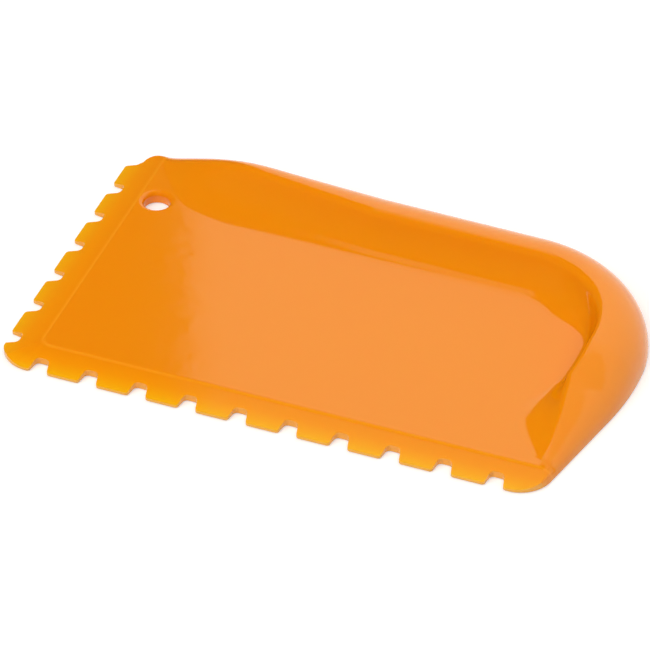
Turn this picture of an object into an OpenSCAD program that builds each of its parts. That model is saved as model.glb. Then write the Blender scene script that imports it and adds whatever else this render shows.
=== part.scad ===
// Pan scraper: one moulded plate with two rows of square teeth and a rolled grip
// The origin is under the middle of the part, on the surface that it lies on

/* [Overall] */
// Length, from the tips of the short row to the outside of the grip
scraper_l = 115.7; // [106:0.1:130]
// Width, from the tips of the long row to the rear edge at its left end
scraper_w = 70.7; // [66:0.1:80]
// Angle at which the rear edge runs in towards the right, in degrees
rear_lean = 1.4; // [0:0.1:3]

/* [Plate] */
// Thickness of the flat panel
panel_t = 2.5; // [2.4:0.1:3.2]
// Thickness at the tips of the teeth
edge_t = 0.6; // [0.4:0.1:1]
// Width of the sloping margin along the long row of teeth
long_margin = 5.7; // [4.5:0.1:7]
// Width of the sloping margin along the short row of teeth
short_margin = 7.3; // [5:0.1:7.4]
// Slope of both margins, in degrees
margin_slope = 14; // [10:0.5:14]
// Corner radius of the panel inside its margins
panel_r = 2; // [1:0.5:5]
// Radius of the two front corners
lobe_r = 6.8; // [5:0.2:9]
// Radius of the rear left corner
rear_r = 3.8; // [2:0.1:6]

/* [Teeth] */
// Distance from one tooth to the next
tooth_pitch = 10; // [8:0.5:12]
// Width of a notch at the tips
notch_mouth = 3.6; // [3:0.1:4.5]
// Width of a notch at its floor
notch_floor = 2.6; // [2:0.1:3]
// Depth of a notch
notch_depth = 2.8; // [2:0.1:3.5]
// Radius in the corners of a notch's floor
floor_r = 0.7; // [0.3:0.1:0.9]
// Radius on the corners of a tooth
tip_r = 0.4; // [0.2:0.1:0.8]
// Middle of the first notch of the long row, from the left
long_row_start = 9.3; // [8:0.1:12]
// Middle of the first notch of the short row, from the front
short_row_start = 7.2; // [6:0.1:10]

/* [Hanging hole] */
// Diameter of the hole
hole_d = 5.2; // [4:0.1:7]
// Middle of the hole, from the tips of the short row
hole_left = 11.2; // [10.5:0.1:16]
// Middle of the hole, from the rear edge at its left end
hole_rear = 16; // [15:0.1:20]
// Radius of the rounded rim round the hole
hole_round = 1; // [0.4:0.1:1.4]

/* [Grip] */
// Height of the grip above the surface that the part lies on
grip_h = 8.2; // [7:0.1:12]
// Width of the rounded back of the grip, from its ridge to the outside
roll_w = 9.2; // [7:0.1:12]
// Width of the hollow front of the grip, from its ridge to the panel
cove_w = 9; // [7:0.1:12]
// Radius that rounds the ridge into the cove
ridge_r = 2.4; // [1:0.1:3.5]
// Thickness of the grip's wall
wall_t = 2.3; // [1.8:0.1:2.3]
// Radius of the large rear right corner
corner_r = 28.2; // [24:0.1:36]
// Radius of the bowed stretch that follows the corner
bow_r = 62; // [40:1:90]
// Angle at which the right side leans in towards the front, in degrees
side_lean = 14.4; // [6:0.1:16]
// Where the grip starts to rise, from the left
rise_start = 7.5; // [7:0.1:12]
// Length over which the grip rises
rise_l = 23.5; // [16:0.5:34]
// Length over which the grip falls away at the front
fall_l = 24; // [14:0.5:30]
// Width of the grip's back where it dies out
end_roll_w = 3.2; // [2:0.1:5]
// Width of the cove where it dies out
end_cove_w = 2; // [1:0.1:5]

/* [Hidden] */
plastic = "#f28c1c";
$fn = 48;

// What a cut reaches past the surface that it opens
past = 1;
// How far the two ends of the grip are sunk into the panel's body
sunk = 0.1;
// How far the cove runs on under the panel's surface
tail = 2;
// How far the plate reaches in under the cove
lap = 1.8;
// How far the rear left corner's rounding is carried outwards, so that it runs out at the notch
rear_fade = 0.6;
// Where the cove would touch level, just under the panel's surface
cove_foot = panel_t - sunk;

// The rear edge touches the small left corner and the large right one
rear_out = heading(90 - rear_lean);
rear_c = [notch_depth + rear_r, scraper_w - rear_r];
corner_x = scraper_l - corner_r;
corner_c = [corner_x, (rear_c * rear_out + rear_r - corner_r - corner_x * rear_out.x) / rear_out.y];
// The bow follows the large corner, and the leaning side follows the bow
side_out = heading(-side_lean);
bow_c = [scraper_l - bow_r, corner_c.y];
bow_end = bow_c + bow_r * side_out;
// The front right corner touches the long row's line and the leaning side
lobe_x = (bow_end * side_out - lobe_r - side_out.y * lobe_r) / side_out.x;
fall_end = long_margin + past;

long_row_n = floor((lobe_x - long_row_start) / tooth_pitch) + 1;
short_row_n = floor((scraper_w - short_row_start) / tooth_pitch) + 1;
// The last notch of the short row is open to the rear left corner
last_notch_y = short_row_start + (short_row_n - 1) * tooth_pitch;

function heading(angle) = [cos(angle), sin(angle)];
function clamp(u) = min(max(u, 0), 1);
function ease(u) = let (v = clamp(u)) v * v * (3 - 2 * v);
function swell(u) = sin(90 * clamp(u));
function mix(from, to, share) = from + (to - from) * share;
function arc(middle, radius, from, to, steps) =
    [for (i = [0:steps]) middle + radius * heading(mix(from, to, i / steps))];
function rear_y(x) = rear_c.y + (rear_r - (x - rear_c.x) * rear_out.x) / rear_out.y;

// A station of the grip is [outside point, outward angle, share of the full height, share of
// the full cove]: the cove has its full width half way up
function rear_station(x) = let (u = (x - rise_start) / rise_l)
    [[x, rear_y(x)], 90 - rear_lean, swell(u), swell(2 * u)];
function side_station(y) =
    [bow_end - [tan(side_lean), 1] * (bow_end.y - y), -side_lean, each fall_shares(y)];
function bow_station(angle) = let (p = bow_c + bow_r * heading(angle))
    [p, angle, each fall_shares(p.y)];
function fall_shares(y) = let (u = (y - fall_end) / fall_l) [ease(u), swell(2 * u)];
function station_h(s) = mix(panel_t, grip_h, s[2]);
function station_roll(s) = mix(end_roll_w, roll_w, s[2]);
function station_cove(s) = mix(end_cove_w, cove_w, s[3]);
function inward(s, inset) = s[0] - inset * heading(s[1]);

rear_steps = 14;
corner_steps = 18;
bow_steps = 7;
side_steps = 10;
rear_stations = [for (i = [0:rear_steps]) rear_station(rise_start + rise_l * i / rear_steps)];
corner_stations = [for (p = [0:corner_steps])
    let (a = (90 - rear_lean) * (1 - p / corner_steps)) [corner_c + corner_r * heading(a), a, 1, 1]];
bow_stations = [for (i = [1:bow_steps]) bow_station(-side_lean * i / bow_steps)];
side_stations = [for (i = [1:side_steps])
    side_station(mix(bow_end.y, fall_end, i / side_steps))];
stations = concat(rear_stations, corner_stations, bow_stations, side_stations);

back_steps = 10;
ridge_steps = 4;
cove_steps = 8;
inside_steps = 8;
round_steps = 5;

// The section of the grip as [inset, height], from the outside over the ridge to the
// panel and back along the hollow underside
function section(h, roll, cove) =
    let (rise = h - cove_foot,
         tilt = 2 * atan(rise / cove),
         bend = cove / sin(tilt),
         top_r = min(ridge_r, bend / 2),
         cove_r = bend - top_r,
         foot = roll + cove,
         ceiling = h - wall_t,
         under_r = cove_r + wall_t,
         under_tilt = min(tilt, acos(min(1, (cove_foot + cove_r - ceiling) / under_r))),
         inside = foot - under_r * sin(under_tilt))
    concat(
        [for (i = [0:back_steps - 1]) let (a = 90 * i / back_steps)
            [roll * (1 - cos(a)), h * sin(a)]],
        [for (i = [0:ridge_steps - 1]) let (a = tilt * i / ridge_steps)
            [roll + top_r * sin(a), h - top_r * (1 - cos(a))]],
        [for (i = [0:cove_steps]) let (a = tilt * (1 - i / cove_steps))
            [foot - cove_r * sin(a), cove_foot + cove_r * (1 - cos(a))]],
        [[foot + tail, cove_foot - 2 * sunk], [foot + tail, 2 * sunk]],
        [for (i = [0:cove_steps]) let (a = under_tilt * i / cove_steps)
            [foot - under_r * sin(a), cove_foot + cove_r - under_r * cos(a)]],
        [for (i = [1:inside_steps]) let (a = 90 * (1 - i / inside_steps))
            [inside - (inside - wall_t) * cos(a), ceiling * sin(a)]]
    );

// The first and last sections shrink a little so that they end inside the plate
function shrink(ring, h, width) =
    [for (p = ring) [sunk + p.x * (1 - sunk / width), sunk + p.y * (1 - 2 * sunk / h)]];

function ring(i) =
    let (s = stations[i], h = station_h(s), roll = station_roll(s), cove = station_cove(s),
         full = section(h, roll, cove),
         buried = i == 0 || i == len(stations) - 1,
         flat = buried ? shrink(full, h, roll + cove) : full)
    [for (p = flat) let (q = inward(s, p.x)) [q.x, q.y, p.y]];

module grip() {
    rings = [for (i = [0:len(stations) - 1]) ring(i)];
    n = len(rings[0]);
    last = len(rings) - 1;
    sides = [for (i = [0:last - 1], j = [0:n - 1])
        let (a = i * n + j, b = i * n + (j + 1) % n)
        each [[a, b + n, b], [a, a + n, b + n]]];
    polyhedron([for (r = rings) each r],
        concat(sides, [[for (j = [0:n - 1]) j], [for (j = [n - 1:-1:0]) last * n + j]]));
}

// The plate's outline without its notches, reaching in under the cove along the grip
function under_cove(s) = inward(s, station_roll(s) + station_cove(s) - lap);
module outline() {
    first = rear_station(rise_start + rise_l / rear_steps / 2);
    final = side_station(fall_end + (bow_end.y - fall_end) / side_steps / 2);
    inner = concat([first], [for (i = [1:len(stations) - 2]) stations[i]], [final]);
    polygon(concat(
        arc([lobe_r, lobe_r], lobe_r, 180, 270, 12),
        arc([lobe_x, lobe_r], lobe_r, 270, 360 - side_lean, 12),
        [final[0]],
        [for (i = [len(inner) - 1:-1:0]) under_cove(inner[i])],
        [first[0]],
        arc(rear_c, rear_r, 90 - rear_lean, 180, 12),
        [[notch_depth, last_notch_y], [0, last_notch_y]]
    ));
}

// One notch at the origin, cut into an edge that lies along X
module notch() {
    flare = atan((notch_mouth - notch_floor) / 2 / notch_depth);
    run_share = tan((90 - flare) / 2);
    tip_c = [notch_mouth / 2 + tip_r * run_share, tip_r];
    floor_c = [notch_floor / 2 - floor_r * run_share, notch_depth - floor_r];
    half = concat(
        [[tip_c.x, -past]],
        arc(tip_c, tip_r, 270, 180 + flare, round_steps),
        arc(floor_c, floor_r, flare, 90, round_steps)
    );
    polygon(concat(half, [for (i = [len(half) - 1:-1:0]) [-half[i].x, half[i].y]]));
}

module notches() {
    translate([0, 0, -past]) linear_extrude(panel_t + 2 * past) {
        for (i = [0:long_row_n - 1])
            translate([long_row_start + i * tooth_pitch, 0]) notch();
        for (i = [0:short_row_n - 1])
            translate([0, short_row_start + i * tooth_pitch]) rotate(-90) notch();
    }
}

// What a sloping margin leaves open above it, with the foot of the plate's edge at the origin
module bevel_section() {
    rise = tan(margin_slope);
    top = panel_t + past;
    polygon([[-past, edge_t - past * rise], [(top - edge_t) / rise, top], [-past, top]]);
}

module plate() {
    difference() {
        union() {
            margins();
            linear_extrude(panel_t) intersection() {
                outline();
                panel_field();
            }
        }
        notches();
        rear_corner_round();
        translate(rear_station(rise_start + past)[0]) rotate(90 - rear_lean) edge_round();
        translate(bow_end) rotate(-side_lean) mirror([0, 1, 0]) edge_round();
    }
}

// What a rounded edge leaves open, as [inset, height], shaped as the grip's section starts:
// its ends run straight on, out through the plate's wall and out through its top
module edge_section() {
    curve = [for (i = [2:back_steps - 1]) let (a = 90 * i / back_steps)
        [end_roll_w * (1 - cos(a)), panel_t * sin(a)]];
    n = len(curve);
    lead = curve[0] - 3 * (curve[1] - curve[0]);
    tail_end = curve[n - 1] + 3 * (curve[n - 1] - curve[n - 2]);
    polygon(concat([lead], curve,
        [tail_end, [tail_end.x, panel_t + past], [lead.x, panel_t + past]]));
}

// A rounded edge that faces +X and runs off along +Y
module edge_round() {
    rotate([90, 0, 180]) linear_extrude(scraper_l) edge_section();
}

// The same rounding carried round the rear left corner
module rear_corner_round() {
    translate(rear_c + rear_fade * heading(180 - rear_lean)) rotate(90 - rear_lean)
        rotate_extrude(angle = 90 + rear_lean)
        intersection() {
            translate([rear_r, 0]) mirror([1, 0]) edge_section();
            square([rear_r + past, panel_t + past]);
        }
}

// Everything inside the margins
module panel_field() {
    far = scraper_l + scraper_w;
    translate([short_margin, long_margin]) {
        translate([panel_r, 0]) square(far);
        translate([0, panel_r]) square(far);
        translate([panel_r, panel_r]) circle(panel_r);
    }
}

module margins() {
    far = scraper_l + scraper_w;
    difference() {
        linear_extrude(panel_t) outline();
        translate([-past, 0, 0]) rotate([90, 0, 90]) linear_extrude(far) bevel_section();
        translate([0, far, 0]) rotate([90, 0, 0]) linear_extrude(far + past) bevel_section();
    }
}

module hanging_hole() {
    translate([hole_left, scraper_w - hole_rear, 0]) {
        translate([0, 0, -past]) cylinder(d = hole_d, h = panel_t + 2 * past);
        rotate_extrude() difference() {
            translate([0, panel_t - hole_round])
                square([hole_d / 2 + hole_round, hole_round + past]);
            translate([hole_d / 2 + hole_round, panel_t - hole_round]) circle(hole_round);
        }
    }
}

module scraper() {
    color(plastic) difference() {
        union() {
            plate();
            grip();
        }
        hanging_hole();
    }
}

translate([-scraper_l / 2, -scraper_w / 2, 0]) scraper();
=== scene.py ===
import math
from collections import namedtuple

import bmesh
import bpy
from mathutils import Matrix, Vector


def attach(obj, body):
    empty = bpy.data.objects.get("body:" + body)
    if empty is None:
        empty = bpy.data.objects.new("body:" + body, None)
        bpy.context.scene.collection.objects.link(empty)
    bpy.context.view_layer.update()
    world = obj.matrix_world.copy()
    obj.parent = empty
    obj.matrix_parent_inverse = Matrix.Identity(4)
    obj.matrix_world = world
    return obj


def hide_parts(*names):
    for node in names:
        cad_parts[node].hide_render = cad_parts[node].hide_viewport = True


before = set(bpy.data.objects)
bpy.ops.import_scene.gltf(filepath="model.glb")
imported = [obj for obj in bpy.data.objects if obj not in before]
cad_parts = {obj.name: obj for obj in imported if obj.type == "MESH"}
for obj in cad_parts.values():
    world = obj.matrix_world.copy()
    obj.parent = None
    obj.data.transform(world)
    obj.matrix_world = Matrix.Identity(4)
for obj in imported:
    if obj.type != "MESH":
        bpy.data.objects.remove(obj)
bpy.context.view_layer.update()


# The scraper is a single injection moulding in orange polypropylene, laid with its grip
# up. This is its outer line in millimetres from the left and front tips: a rear edge that
# leans a little, a large round corner, a slight bow, and a side that leans in.
LENGTH, WIDTH = 115.7, 70.7
REAR_LEAN, SIDE_LEAN = math.radians(1.4), math.radians(14.4)
FRONT_R, REAR_LEFT_R, CORNER_R, BOW_R = 6.8, 3.8, 28.2, 62.0
NOTCH_DEPTH = 2.8


def heading(angle):
    return Vector((math.cos(angle), math.sin(angle)))


rear_way, side_way = math.pi / 2 - REAR_LEAN, -SIDE_LEAN
rear_out, side_out = heading(rear_way), heading(side_way)
rear_left_c = Vector((NOTCH_DEPTH + REAR_LEFT_R, WIDTH - REAR_LEFT_R))
corner_x = LENGTH - CORNER_R
corner_reach = rear_left_c.dot(rear_out) + REAR_LEFT_R - CORNER_R
corner_c = Vector((corner_x, (corner_reach - corner_x * rear_out.x) / rear_out.y))
bow_c = Vector((LENGTH - BOW_R, corner_c.y))
bow_end = bow_c + BOW_R * side_out
front_right_x = (bow_end.dot(side_out) - FRONT_R - side_out.y * FRONT_R) / side_out.x


def rear_y(x):
    return rear_left_c.y + (REAR_LEFT_R - (x - rear_left_c.x) * rear_out.x) / rear_out.y


def side_point(y):
    return bow_end - Vector((math.tan(SIDE_LEAN), 1)) * (bow_end.y - y)


# The grip is a rolled ridge of the same moulding, from the rear left, round the corner and
# down the side. At each station along it, the back is the width from the outer edge to the
# top of the ridge, and the cove is the hollow curve from there down to the panel.
GRIP_H = 8.2
REAR_BACK_W, REAR_COVE_W = 8.4, 9.8
SIDE_BACK_W, SIDE_COVE_W = 9.2, 3.2
END_BACK_W, END_COVE_W = 3.2, 2.0
RISE_START, RISE_L, BACK_SWELL_L = 7.5, 23.5, 48.0
FALL_END, FALL_L, FALL_SOFT = 6.2, 30.0, 0.3
LEAF_W, LEAF_Y, LEAF_L = 9.9, 14.5, 14.0
START_SOFT, COVE_LEAD, LEAF_LEAD, BACK_LEAD, BACK_CURVE = 0.05, 2, 3, 1.5, 1.4
CORNER_FOLD_FROM, CORNER_FOLD_TURN = math.radians(5), math.radians(43)
RISE_STEPS, BACK_STEPS, CORNER_STEPS, BOW_STEPS, SIDE_STEPS = 36, 20, 44, 18, 30

Station = namedtuple("Station", "point way height cove back")


def mix(low, high, share):
    return low + (high - low) * share


def ease(u):
    u = min(max(u, 0), 1)
    return u * u * (3 - 2 * u)


# Heights and widths swell in smoothly, with no crease where the grip starts.
def swell(u):
    soft = math.hypot(max(u, 0), START_SOFT) - START_SOFT
    return math.sin(math.pi / 2 * min(soft / (math.hypot(1, START_SOFT) - START_SOFT), 1))


# At the rear left the back widens more slowly than the grip rises. The cove takes the
# difference, and reaches its full width in half of the rise.
def rear_station(x):
    u = (x - RISE_START) / RISE_L
    back = mix(END_BACK_W, REAR_BACK_W, min(max((x - RISE_START) / BACK_SWELL_L, 0), 1))
    foot = (mix(END_BACK_W, REAR_BACK_W, swell(u))
            + mix(END_COVE_W, REAR_COVE_W, swell(COVE_LEAD * u)))
    return Station(Vector((x, rear_y(x))), rear_way, swell(u), foot - back, back)


# Round the corner the cove tightens to a fold, which runs down the side.
def corner_station(way):
    share = ease((way - CORNER_FOLD_FROM) / CORNER_FOLD_TURN)
    return Station(corner_c + CORNER_R * heading(way), way, 1,
                   mix(SIDE_COVE_W, REAR_COVE_W, share),
                   mix(SIDE_BACK_W, REAR_BACK_W, share))


# Where the grip falls away at the front, the fold opens out into a leaf. The cove narrows
# again over the last third of the fall, and the back over the last two thirds.
def falling_station(point, way):
    u = (point.y - FALL_END) / FALL_L
    leaf = mix(LEAF_W, SIDE_COVE_W, ease((point.y - LEAF_Y) / LEAF_L))
    widened = min(BACK_LEAD * max(u, 0), 1) ** BACK_CURVE
    return Station(point, way, mix(min(u, 1), ease(u), FALL_SOFT),
                   mix(END_COVE_W, leaf, swell(LEAF_LEAD * u)),
                   mix(END_BACK_W, SIDE_BACK_W, widened))


stations = [rear_station(RISE_START + RISE_L * i / RISE_STEPS)
            for i in range(RISE_STEPS + 1)]
stations += [rear_station(RISE_START + mix(RISE_L, BACK_SWELL_L, i / BACK_STEPS))
             for i in range(1, BACK_STEPS + 1)]
stations += [corner_station(rear_way * (1 - i / CORNER_STEPS))
             for i in range(CORNER_STEPS + 1)]
for i in range(1, BOW_STEPS + 1):
    way = side_way * i / BOW_STEPS
    stations.append(falling_station(bow_c + BOW_R * heading(way), way))
stations += [falling_station(side_point(mix(bow_end.y, FALL_END, i / SIDE_STEPS)), side_way)
             for i in range(1, SIDE_STEPS + 1)]


# The plate is the flat of the moulding, with two rows of square teeth along its long front
# edge and its short left edge. Both margins slope down to thin edges, and the tops of the
# teeth are slightly rounded, as they leave the mould. It reaches a little under the grip.
PANEL_T, TIP_T = 2.5, 0.6
LONG_SLOPE, SHORT_SLOPE = math.radians(16.5), math.radians(14)
TOOTH_PITCH, NOTCH_MOUTH, NOTCH_FLOOR = 10.0, 3.6, 2.6
TOOTH_TIP_R, NOTCH_FLOOR_R = 0.6, 0.9
LONG_START, LONG_NOTCHES, SHORT_START, SHORT_NOTCHES = 9.3, 10, 7.2, 7
FIRST_TOOTH_REACH, FIRST_TIP_CUT = 2.6, 0.3
# Here and below, laps and sinks keep the shapes that are joined from sharing a face.
GRIP_LAP, END_LAP, PLATE_SINK = 1.0, 0.6, 0.03
EDGE_ROUND, TOOTH_BAND, SIDE_CLEAR, SHARP_TURN, LEVEL = 0.16, 3.2, 4.0, 1.0, 0.5
TIP_STEPS, NOTCH_STEPS = 5, 6
FRONT_LEFT_STEPS, FRONT_RIGHT_STEPS, REAR_LEFT_STEPS = 18, 20, 16
ON_PLANE, MM = 1e-5, 0.001


def inward(point, way, inset):
    return point - inset * heading(way)


def arc(middle, radius, start, end, steps):
    return [middle + radius * heading(mix(start, end, i / steps)) for i in range(steps + 1)]


def new_mesh(name, bm):
    bmesh.ops.recalc_face_normals(bm, faces=bm.faces)
    bmesh.ops.scale(bm, vec=(MM,) * 3, verts=bm.verts)
    bmesh.ops.translate(bm, vec=(-LENGTH / 2 * MM, -WIDTH / 2 * MM, 0), verts=bm.verts)
    mesh = bpy.data.meshes.new(name)
    bm.to_mesh(mesh)
    bm.free()
    piece = bpy.data.objects.new(name, mesh)
    bpy.context.scene.collection.objects.link(piece)
    return piece


# The middle of each notch, along the long row and along the short one.
long_row = [LONG_START + TOOTH_PITCH * k for k in range(LONG_NOTCHES)]
short_row = [SHORT_START + TOOTH_PITCH * k for k in range(SHORT_NOTCHES)]

# One side of a notch, from the rounded tip of a tooth to the middle of the notch's floor.
flare = math.atan((NOTCH_MOUTH - NOTCH_FLOOR) / 2 / NOTCH_DEPTH)
run = math.tan((math.pi / 2 - flare) / 2)
tip_c = Vector((NOTCH_MOUTH / 2 + TOOTH_TIP_R * run, TOOTH_TIP_R))
floor_c = Vector((NOTCH_FLOOR / 2 - NOTCH_FLOOR_R * run, NOTCH_DEPTH - NOTCH_FLOOR_R))
right_side = (arc(tip_c, TOOTH_TIP_R, 1.5 * math.pi, math.pi + flare, TIP_STEPS)
              + arc(floor_c, NOTCH_FLOOR_R, flare, math.pi / 2, NOTCH_STEPS))
left_side = [Vector((-p.x, p.y)) for p in right_side]

# The first notch of the short row runs into the rounded front left corner.
corner_from = math.pi + math.asin((FRONT_R - short_row[0] + FIRST_TOOTH_REACH) / FRONT_R)
outline = arc(Vector((FRONT_R, FRONT_R)), FRONT_R, corner_from, 1.5 * math.pi,
              FRONT_LEFT_STEPS)
for x in long_row:
    outline += [Vector((x + p.x, p.y)) for p in left_side]
    outline += [Vector((x + p.x, p.y)) for p in reversed(right_side)]
outline += arc(Vector((front_right_x, FRONT_R)), FRONT_R, 1.5 * math.pi,
               2 * math.pi - SIDE_LEAN, FRONT_RIGHT_STEPS)
under_grip = [side_point(FALL_END + END_LAP)]
under_grip += [inward(s.point, s.way, s.back + s.cove - GRIP_LAP)
               for s in reversed(stations[2:-1])]
under_grip += [rear_station(RISE_START + END_LAP).point]
outline += under_grip
outline += arc(rear_left_c, REAR_LEFT_R, rear_way, math.pi, REAR_LEFT_STEPS)
outline += [Vector((p.y, short_row[-1] - p.x)) for p in reversed(right_side)]
for y in reversed(short_row[:-1]):
    outline += [Vector((p.y, y - p.x)) for p in left_side]
    outline += [Vector((p.y, y - p.x)) for p in reversed(right_side)
                if y > short_row[0] or p.y > FIRST_TIP_CUT]

plate = bmesh.new()
underside = plate.faces.new([plate.verts.new((p.x, p.y, 0)) for p in outline])
grown = bmesh.ops.extrude_face_region(plate, geom=[underside])
top = [v for v in grown["geom"] if isinstance(v, bmesh.types.BMVert)]
bmesh.ops.translate(plate, vec=(0, 0, PANEL_T - PLATE_SINK), verts=top)
for tilt in (Vector((0, -math.sin(LONG_SLOPE), math.cos(LONG_SLOPE))),
             Vector((-math.sin(SHORT_SLOPE), 0, math.cos(SHORT_SLOPE)))):
    everything = plate.verts[:] + plate.edges[:] + plate.faces[:]
    cut = bmesh.ops.bisect_plane(plate, geom=everything, dist=ON_PLANE, clear_outer=True,
                                 plane_co=(0, 0, TIP_T), plane_no=tilt)
    rim = [e for e in cut["geom_cut"] if isinstance(e, bmesh.types.BMEdge)]
    bmesh.ops.contextual_create(plate, geom=rim)
bmesh.ops.recalc_face_normals(plate, faces=plate.faces)


# The sharp, level edges of the teeth, above and below, apart from those near the side.
def is_tooth_edge(edge):
    ends = [v.co for v in edge.verts]
    sharp = len(edge.link_faces) == 2 and edge.calc_face_angle(0) > SHARP_TURN
    level = abs((ends[0] - ends[1]).normalized().z) < LEVEL
    in_band = min(min(p.x, p.y) for p in ends) < TOOTH_BAND
    return sharp and level and in_band and max(p.x for p in ends) < LENGTH - SIDE_CLEAR


bmesh.ops.bevel(plate, geom=[e for e in plate.edges if is_tooth_edge(e)], offset=EDGE_ROUND,
                offset_type="OFFSET", segments=2, profile=0.5, affect="EDGES", material=-1,
                clamp_overlap=True)
scraper = new_mesh("scraper_moulding", plate)


# The panel is the flat middle, which stands a little above the two margins. It is the same
# plastic in the same shot, and the step round it is a soft S, not a sharp edge.
LONG_MARGIN, SHORT_MARGIN, PANEL_CORNER = 5.7, 7.3, 2.0
STEP_HALF, STEP_SINK, PANEL_FOOT, STEP_RINGS, CORNER_POINTS = 0.5, 0.015, 0.3, 8, 12
panel_c = Vector((SHORT_MARGIN + PANEL_CORNER, LONG_MARGIN + PANEL_CORNER))


def sweep(bm, rings):
    loops = []
    for ring in rings:
        verts = [bm.verts.new(p) for p in ring]
        loops.append([bm.edges.new((verts[i - 1], verts[i])) for i in range(len(verts))])
    for low, high in zip(loops, loops[1:]):
        bmesh.ops.bridge_loops(bm, edges=low + high)
    bmesh.ops.contextual_create(bm, geom=loops[0])
    bmesh.ops.contextual_create(bm, geom=loops[-1])


def combine(piece, other, operation):
    join = piece.modifiers.new(operation.lower(), "BOOLEAN")
    join.operation, join.object, join.solver = operation, other, "EXACT"
    graph = bpy.context.evaluated_depsgraph_get()
    result = bpy.data.meshes.new_from_object(piece.evaluated_get(graph))
    piece.modifiers.clear()
    piece.data = result
    bpy.data.objects.remove(other)


def panel_ring(grown, z):
    edge = arc(panel_c, PANEL_CORNER + grown, math.pi, 1.5 * math.pi, CORNER_POINTS)
    edge += [side_point(LONG_MARGIN - grown)] + under_grip
    edge += [Vector((SHORT_MARGIN - grown, rear_y(SHORT_MARGIN - grown)))]
    return [Vector((p.x, p.y, z)) for p in edge]


# The S starts along the margin's slope and ends level.
fall = math.tan(LONG_SLOPE)
step_foot = TIP_T + (LONG_MARGIN - STEP_HALF) * fall - STEP_SINK
panel_rings = [panel_ring(STEP_HALF, PANEL_FOOT)]
for i in range(STEP_RINGS + 1):
    u = i / STEP_RINGS
    z = mix(step_foot, PANEL_T, ease(u)) + fall * 2 * STEP_HALF * u * (1 - u) ** 2
    panel_rings.append(panel_ring(STEP_HALF * (1 - 2 * u), z))
panel = bmesh.new()
sweep(panel, panel_rings)
combine(scraper, new_mesh("panel", panel), "UNION")


# Where the plate's edge is plain, at the rear left and at the front right, it has the same
# rounded shoulder as the grip's ends. Two swept cutters take it off the square edge, and
# the rear one slides out of the plastic at the last notch, where the rounding runs out.
CUT_PAST, CUT_OVER, SHOULDER_OVER, SHOULDER_STEPS = 1.5, 1, 0.04, 16
RUN_OUT, RUN_OUT_LEAN = (0.2, 0.5, 0.8), 1.2
SIDE_CUT_TO = -3


def placed(point, way, section):
    return [inward(point, way, inset).to_3d() + Vector((0, 0, z)) for inset, z in section]


shoulder = [(-CUT_PAST, -CUT_OVER), (0, -CUT_OVER)]
shoulder += [(END_BACK_W * (1 - math.cos(a)), PANEL_T * math.sin(a))
             for a in (math.pi / 2 * i / SHOULDER_STEPS for i in range(SHOULDER_STEPS + 1))]
shoulder += [(END_BACK_W + CUT_OVER, PANEL_T + SHOULDER_OVER),
             (END_BACK_W + CUT_OVER, PANEL_T + CUT_OVER), (-CUT_PAST, PANEL_T + CUT_OVER)]
rear_edge = [rear_station(RISE_START + CUT_OVER)[:2]]
for i in range(SHOULDER_STEPS + 1):
    way = mix(rear_way, math.pi, i / SHOULDER_STEPS)
    rear_edge.append((rear_left_c + REAR_LEFT_R * heading(way), way))
rear_edge += [(Vector((NOTCH_DEPTH - d, rear_left_c.y - RUN_OUT_LEAN * d)), math.pi)
              for d in RUN_OUT]
side_edge = [(side_point(y), side_way) for y in (FALL_END + CUT_OVER, SIDE_CUT_TO)]
for course in (rear_edge, side_edge):
    cutter = bmesh.new()
    sweep(cutter, [placed(point, way, shoulder) for point, way in course])
    combine(scraper, new_mesh("edge_cutter", cutter), "DIFFERENCE")


# The hanging hole near the rear left corner is left by a round pin in the mould. Its rim
# is rounded over on top, and its wall shows the thickness of the panel.
HOLE = Vector((11.2, WIDTH - 16, 0))
HOLE_R, RIM_R, HOLE_STEPS, RIM_STEPS, HOLE_WELD = 2.6, 1.0, 72, 8, 1e-4
half_bore = [(0, -CUT_OVER), (HOLE_R, -CUT_OVER), (HOLE_R, PANEL_T - RIM_R)]
half_bore += [(HOLE_R + RIM_R - RIM_R * math.cos(a), PANEL_T - RIM_R + RIM_R * math.sin(a))
              for a in (math.pi / 2 * i / RIM_STEPS for i in range(1, RIM_STEPS + 1))]
half_bore += [(HOLE_R + RIM_R, PANEL_T + CUT_OVER), (0, PANEL_T + CUT_OVER)]
bore = bmesh.new()
turned = [bore.verts.new(Vector((r, 0, z)) + HOLE) for r, z in half_bore]
edges = [bore.edges.new(pair) for pair in zip(turned, turned[1:])]
bmesh.ops.spin(bore, geom=turned + edges, cent=HOLE, axis=(0, 0, 1), angle=2 * math.pi,
               steps=HOLE_STEPS, use_merge=True)
bmesh.ops.remove_doubles(bore, verts=bore.verts, dist=HOLE_WELD)
combine(scraper, new_mesh("bore", bore), "DIFFERENCE")


# The grip itself: a shell with even walls, open below, so that it cools without sinking
# and fingertips can curl under it. One closed surface is swept through the stations, and
# runs into the panel at the cove's foot and into the plate at both ends.
REAR_RIDGE_R, SIDE_RIDGE_R, WALL_T = 2.4, 0.9, 2.3
FLANK_MAX = math.radians(72)
FOOT_SINK, TONGUE_W, TONGUE_TOP, TONGUE_LOW, END_DRAW_IN = 0.004, 1.2, 0.5, 0.4, 0.1
BACK_POINTS, COVE_POINTS, UNDER_POINTS, INSIDE_POINTS, NO_BEND = 24, 40, 16, 12, 1e-9
WELD, SLIVER, CREASE = 0.002, 0.001, math.radians(40)


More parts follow.
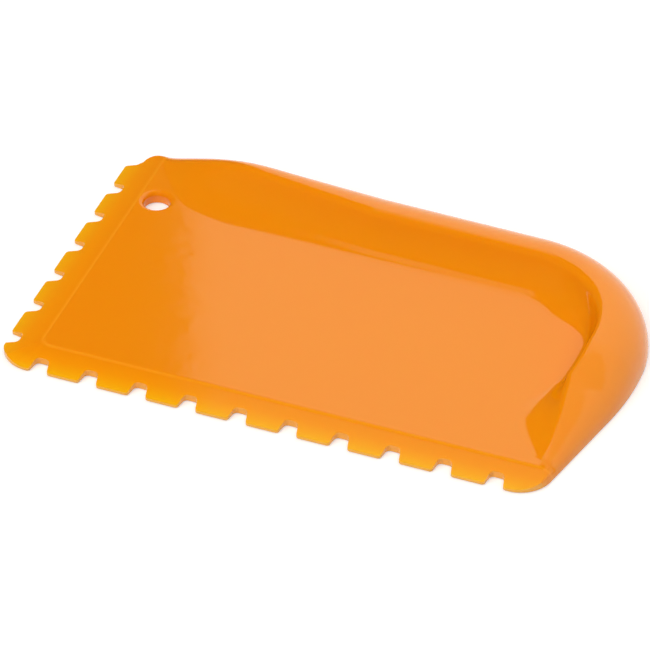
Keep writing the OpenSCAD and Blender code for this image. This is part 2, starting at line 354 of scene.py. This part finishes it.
# Points on a smooth line made of legs of (turn, length). Each leg bends evenly by its turn.
def along(start, way, legs, steps):
    total = sum(length for turn, length in legs)
    points = []
    for i in range(steps + 1):
        left, at, facing = total * i / steps, Vector(start), way
        for turn, length in legs:
            part = min(left, length)
            bend = turn * part / length if length else 0
            if abs(bend) > NO_BEND:
                r = part / bend
                at = at + r * Vector((math.sin(facing + bend) - math.sin(facing),
                                      math.cos(facing) - math.cos(facing + bend)))
            else:
                at = at + part * heading(facing)
            facing += bend
            left -= part
        points.append((at.x, at.y))
    return points


# The grip cut across: its outer quarter round, its ridge and cove, a tongue that laps into
# the panel, and then the hollow below. Each point is (inset from the outer edge, height).
def grip_section(station):
    high = mix(PANEL_T, GRIP_H, station.height)
    cove, back = station.cove, station.back
    foot, foot_z = back + cove, PANEL_T - FOOT_SINK
    rise = high - foot_z
    flank = min(2 * math.atan(rise / cove), FLANK_MAX)
    bends = (cove * math.sin(flank) - rise * math.cos(flank)) / (1 - math.cos(flank))
    tight = (REAR_COVE_W - cove) / (REAR_COVE_W - SIDE_COVE_W)
    ridge_r = min(mix(REAR_RIDGE_R, SIDE_RIDGE_R, min(max(tight, 0), 1)), bends / 2)
    fold_r = bends - ridge_r
    straight = max((rise - bends * (1 - math.cos(flank))) / math.sin(flank), 0)
    points = [(back * (1 - math.cos(a)), high * math.sin(a))
              for a in (math.pi / 2 * i / BACK_POINTS for i in range(BACK_POINTS))]
    points += along((back, high), 0, [(-flank, ridge_r * flank), (0, straight),
                                      (flank, fold_r * flank)], COVE_POINTS)
    points += [(foot + TONGUE_W, foot_z - TONGUE_TOP), (foot + TONGUE_W, TONGUE_LOW)]
    ceiling, under_r = high - WALL_T, fold_r + WALL_T
    middle_z = foot_z + fold_r
    under_turn = min(flank, math.acos(max(-1, min(1, (middle_z - ceiling) / under_r))))
    reached = middle_z - under_r * math.cos(under_turn)
    up = max((ceiling - reached) / math.sin(flank), 0) if under_turn == flank else 0
    points += along((foot, middle_z - under_r), math.pi,
                    [(-under_turn, under_r * under_turn), (0, up)], UNDER_POINTS)
    inside = points[-1][0]
    points += [(inside - (inside - WALL_T) * math.cos(a), ceiling * math.sin(a))
               for a in (math.pi / 2 * (1 - i / INSIDE_POINTS)
                         for i in range(1, INSIDE_POINTS + 1))]
    return points


# Both ends are drawn in a little all round, so that they close inside the plate.
def drawn_in(station):
    width, high = station.back + station.cove, mix(PANEL_T, GRIP_H, station.height)
    return [(END_DRAW_IN + inset * (1 - END_DRAW_IN / width),
             END_DRAW_IN + z * (1 - 2 * END_DRAW_IN / high))
            for inset, z in grip_section(station)]


rings = [placed(s.point, s.way, grip_section(s)) for s in stations]
for end in (0, -1):
    rings[end] = placed(stations[end].point, stations[end].way, drawn_in(stations[end]))
grip = bmesh.new()
sweep(grip, rings)
combine(scraper, new_mesh("grip", grip), "UNION")

# The joined mesh is cleaned of the slivers that joining leaves, and shaded as one surface.
whole = bmesh.new()
whole.from_mesh(scraper.data)
bmesh.ops.remove_doubles(whole, verts=whole.verts, dist=WELD * MM)
bmesh.ops.dissolve_degenerate(whole, edges=whole.edges, dist=SLIVER * MM)
whole.to_mesh(scraper.data)
whole.free()
scraper.data.polygons.foreach_set("material_index", [0] * len(scraper.data.polygons))
scraper.data.shade_smooth()
scraper.data.set_sharp_from_angle(angle=CREASE)
shading = scraper.modifiers.new("even_shading", "WEIGHTED_NORMAL")
shading.keep_sharp = True


# The plastic is polypropylene, coloured right through and moulded against polished steel.
# To the eye it is glossy, with a fine haze and very slight waves. It is a little milky, so
# thin margins and teeth glow yellower than the panel; that glow is painted light in the
# colour.
PLASTIC_IOR, MILKINESS, LIGHT_REACH, REACH_BY_COLOUR = 1.49, 0.2, 1.5, (1.0, 0.4, 0.05)
# Painted light: the colours run inward from the teeth, at shares of the glow width of 6.8
# mm, with a thin painted highlight at the panel's step. The two margins blend over 3 mm at
# their corner.
TIP_GLOW_COLOUR, PANEL_COLOUR = "#FDB206", "#F48D00"
MARGIN_GLOW_COLOURS = ((0.2, "#FDA502"), (0.45, "#FA9700"), (0.78, "#F68F00"),
                  (0.85, "#FB9A14"), (0.9, "#F48D00"))
GLOW_W, MARGIN_BLEND = 6.8, 3.0
# The upright walls of the notches are painted paler, out to between 2.8 and 4 mm from the
# edge, as a painted glow of light through the thin teeth.
WALL_GLOW_COLOUR, WALL_GLOW_SHARE, WALL_FROM, WALL_TO = "#FFB446", 0.75, 2.8, 4.0
UPRIGHT, LYING = 0.2, 0.6
# The real haze is finer than a pixel, so it is drawn in patches of 1.1 mm to show at all.
# The waves are 6.25 mm across and about a hundredth of a millimetre high, like real ones.
HAZE_W, HAZE_DETAIL, HAZE_LOW, HAZE_HIGH = 10 / 9, 2, 0.3, 0.7
ROUGH_LOW, ROUGH_HIGH = 0.06, 0.1
WAVE_W, WAVE_DETAIL, WAVE_H, WAVE_STRENGTH = 6.25, 3, 0.06, 0.5


def linear(code):
    parts = [int(code[i:i + 2], 16) / 255 for i in (1, 3, 5)]
    return tuple(c / 12.92 if c <= 0.04045 else ((c + 0.055) / 1.055) ** 2.4
                 for c in parts) + (1,)


def add_node(material, kind, links=None, values=None, **settings):
    node = material.node_tree.nodes.new(kind)
    for name, value in settings.items():
        setattr(node, name, value)
    for socket, value in (values or {}).items():
        node.inputs[socket].default_value = value
    for socket, source in (links or {}).items():
        material.node_tree.links.new(source, node.inputs[socket])
    return node


plastic = bpy.data.materials.new("moulded_polypropylene")
plastic.use_nodes = True
shader = plastic.node_tree.nodes["Principled BSDF"]
shader.inputs["IOR"].default_value = PLASTIC_IOR
shader.inputs["Subsurface Weight"].default_value = MILKINESS
shader.inputs["Subsurface Radius"].default_value = REACH_BY_COLOUR
shader.inputs["Subsurface Scale"].default_value = LIGHT_REACH * MM

place = add_node(plastic, "ShaderNodeTexCoord").outputs["Object"]
axes = add_node(plastic, "ShaderNodeSeparateXYZ", {0: place})
from_left = add_node(plastic, "ShaderNodeMath", {0: axes.outputs["X"]},
                     {1: LENGTH / 2 * MM}, operation="ADD")
from_front = add_node(plastic, "ShaderNodeMath", {0: axes.outputs["Y"]},
                      {1: WIDTH / 2 * MM}, operation="ADD")
left_share = add_node(plastic, "ShaderNodeMath", {0: from_left.outputs[0]},
                      {1: LONG_MARGIN / SHORT_MARGIN}, operation="MULTIPLY")
near_edge = add_node(plastic, "ShaderNodeMath",
                     {0: left_share.outputs[0], 1: from_front.outputs[0]},
                     {2: MARGIN_BLEND * MM}, operation="SMOOTH_MIN")
# Painted light: this share runs the colour ramp, which paints the thin margins and teeth
# yellower and brighter.
edge_glow_share = add_node(plastic, "ShaderNodeMapRange", {"Value": near_edge.outputs[0]},
                     {"From Min": 0, "From Max": GLOW_W * MM})
glow_ramp = add_node(plastic, "ShaderNodeValToRGB", {"Fac": edge_glow_share.outputs["Result"]})
stops = glow_ramp.color_ramp.elements
stops[0].color, stops[1].color = linear(TIP_GLOW_COLOUR), linear(PANEL_COLOUR)
for share, code in MARGIN_GLOW_COLOURS:
    stops.new(share).color = linear(code)

# Painted light: upright faces near the teeth are painted paler, as a glow through the thin
# plastic.
facing = add_node(plastic, "ShaderNodeNewGeometry")
upright = add_node(plastic, "ShaderNodeSeparateXYZ", {0: facing.outputs["Normal"]})
cut_wall = add_node(plastic, "ShaderNodeMapRange", {"Value": upright.outputs["Z"]},
                    {"From Min": UPRIGHT, "From Max": LYING, "To Min": 1, "To Max": 0})
wall_glow_reach = add_node(plastic, "ShaderNodeMapRange", {"Value": near_edge.outputs[0]},
                     {"From Min": WALL_FROM * MM, "From Max": WALL_TO * MM,
                      "To Min": WALL_GLOW_SHARE, "To Max": 0})
painted_wall_glow = add_node(plastic, "ShaderNodeMath",
                   {0: cut_wall.outputs["Result"], 1: wall_glow_reach.outputs["Result"]},
                   operation="MULTIPLY")
painted_glow_colour = add_node(plastic, "ShaderNodeMix",
               {0: painted_wall_glow.outputs[0], 6: glow_ramp.outputs["Color"]},
               {7: linear(WALL_GLOW_COLOUR)}, data_type="RGBA")
plastic.node_tree.links.new(painted_glow_colour.outputs[2], shader.inputs["Base Color"])

haze = add_node(plastic, "ShaderNodeTexNoise", {"Vector": place},
                {"Scale": 1 / (HAZE_W * MM), "Detail": HAZE_DETAIL})
gloss = add_node(plastic, "ShaderNodeMapRange", {"Value": haze.outputs["Fac"]},
                 {"From Min": HAZE_LOW, "From Max": HAZE_HIGH,
                  "To Min": ROUGH_LOW, "To Max": ROUGH_HIGH})
plastic.node_tree.links.new(gloss.outputs["Result"], shader.inputs["Roughness"])
waves = add_node(plastic, "ShaderNodeTexNoise", {"Vector": place},
                 {"Scale": 1 / (WAVE_W * MM), "Detail": WAVE_DETAIL})
ripple = add_node(plastic, "ShaderNodeBump", {"Height": waves.outputs["Fac"]},
                  {"Strength": WAVE_STRENGTH, "Distance": WAVE_H * MM})
plastic.node_tree.links.new(ripple.outputs["Normal"], shader.inputs["Normal"])

scraper.data.materials.clear()
scraper.data.materials.append(plastic)
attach(scraper, "root")
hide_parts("scraper")


# The scraper lies on a sheet of matt white paper, lit from above. The paper keeps its
# shadow, and glows a little to the camera and in reflections, so that it reads as white.
# It lies just under the scraper, so that no two faces share a plane.
SHEET_HALF, SHEET_Z, PAPER_GLOW = 3, -0.0002, 0.3
PAPER_WHITE, PAPER_ROUGH, PAPER_SHEEN = "#E8E8E8", 0.9, 0.2
sheet = bmesh.new()
bmesh.ops.create_grid(sheet, x_segments=1, y_segments=1, size=SHEET_HALF)
bmesh.ops.translate(sheet, vec=(0, 0, SHEET_Z), verts=sheet.verts)
floor_mesh = bpy.data.meshes.new("floor")
sheet.to_mesh(floor_mesh)
sheet.free()
floor = bpy.data.objects.new("floor", floor_mesh)
bpy.context.scene.collection.objects.link(floor)

paper = bpy.data.materials.new("white_paper_sweep")
paper.use_nodes = True
surface = paper.node_tree.nodes["Principled BSDF"]
surface.inputs["Base Color"].default_value = linear(PAPER_WHITE)
surface.inputs["Roughness"].default_value = PAPER_ROUGH
surface.inputs["Specular IOR Level"].default_value = PAPER_SHEEN
surface.inputs["Emission Color"].default_value = (1, 1, 1, 1)
ray = add_node(paper, "ShaderNodeLightPath").outputs
seen = add_node(paper, "ShaderNodeMath", {0: ray["Is Camera Ray"], 1: ray["Is Glossy Ray"]},
                operation="MAXIMUM")
seen = add_node(paper, "ShaderNodeMath",
                {0: seen.outputs[0], 1: ray["Is Transmission Ray"]}, operation="MAXIMUM")
glow = add_node(paper, "ShaderNodeMath", {0: seen.outputs[0]}, {1: PAPER_GLOW},
                operation="MULTIPLY")
paper.node_tree.links.new(glow.outputs[0], surface.inputs["Emission Strength"])
floor_mesh.materials.append(paper)


# The studio has a dim white room, a softbox behind that gives the panel its broad sheen, a
# narrow ceiling panel that shows along the ridge, and a large scrim overhead for even
# light, which stays out of reflections. Places and sizes are in metres.
WARM_WHITE, WHITE, ROOM_LEVEL = "#FFF7E6", "#FFFFFF", 0.07
world = bpy.data.worlds.new("studio")
bpy.context.scene.world = world
world.use_nodes = True
sky = world.node_tree.nodes["Background"]
sky.inputs["Color"].default_value = (1, 1, 1, 1)
sky.inputs["Strength"].default_value = ROOM_LEVEL


def lamp(name, spot, aim, width, height, brightness, tint):
    data = bpy.data.lights.new(name, "AREA")
    data.shape, data.size, data.size_y = "RECTANGLE", width, height
    data.energy = brightness * math.pi * width * height
    data.color = linear(tint)[:3]
    light = bpy.data.objects.new(name, data)
    light.location = spot
    light.rotation_euler = (Vector(aim) - Vector(spot)).to_track_quat("-Z", "Y").to_euler()
    bpy.context.scene.collection.objects.link(light)
    return light


lamp("rear_softbox", (0.672, 0.6, 0.575), (0.672, 0, 0.575), 1.9, 1.15, 1.2, WARM_WHITE)
lamp("ceiling_panel", (0.575, 0.51, 1.4), (0.575, 0.51, 0), 2.05, 0.46, 0.65, WARM_WHITE)
scrim = lamp("overhead_scrim", (-0.2, -0.8, 1.25), (0, 0, 0), 3.0, 2.0, 1.83, WHITE)
scrim.visible_glossy = False


# The camera stands where the photo's stood: in front, a little to the right, looking down
# by 39 degrees through a long lens. Its place was fitted to the two rows of notches.
FOCAL_PX, PICTURE_PX, SENSOR = 3600, 650, 36
CAMERA_PLACE = (0.17551, -0.50503, 0.43543)
AZIMUTH, ELEVATION, ROLL = 0.34144, 0.68471, 0.0158
camera_data = bpy.data.cameras.new("camera")
camera_data.sensor_width = SENSOR
camera_data.lens = FOCAL_PX / PICTURE_PX * SENSOR
camera = bpy.data.objects.new("camera", camera_data)
backward = Vector((math.sin(AZIMUTH) * math.cos(ELEVATION),
                   -math.cos(AZIMUTH) * math.cos(ELEVATION), math.sin(ELEVATION)))
right = Vector((math.cos(AZIMUTH), math.sin(AZIMUTH), 0))
up = backward.cross(right)
turned_right = math.cos(ROLL) * right + math.sin(ROLL) * up
turned_up = math.cos(ROLL) * up - math.sin(ROLL) * right
turn = Matrix((turned_right, turned_up, backward)).transposed()
camera.matrix_world = Matrix.Translation(CAMERA_PLACE) @ turn.to_4x4()
bpy.context.scene.collection.objects.link(camera)
bpy.context.scene.camera = camera
bpy.context.scene.view_settings.view_transform = "Standard"
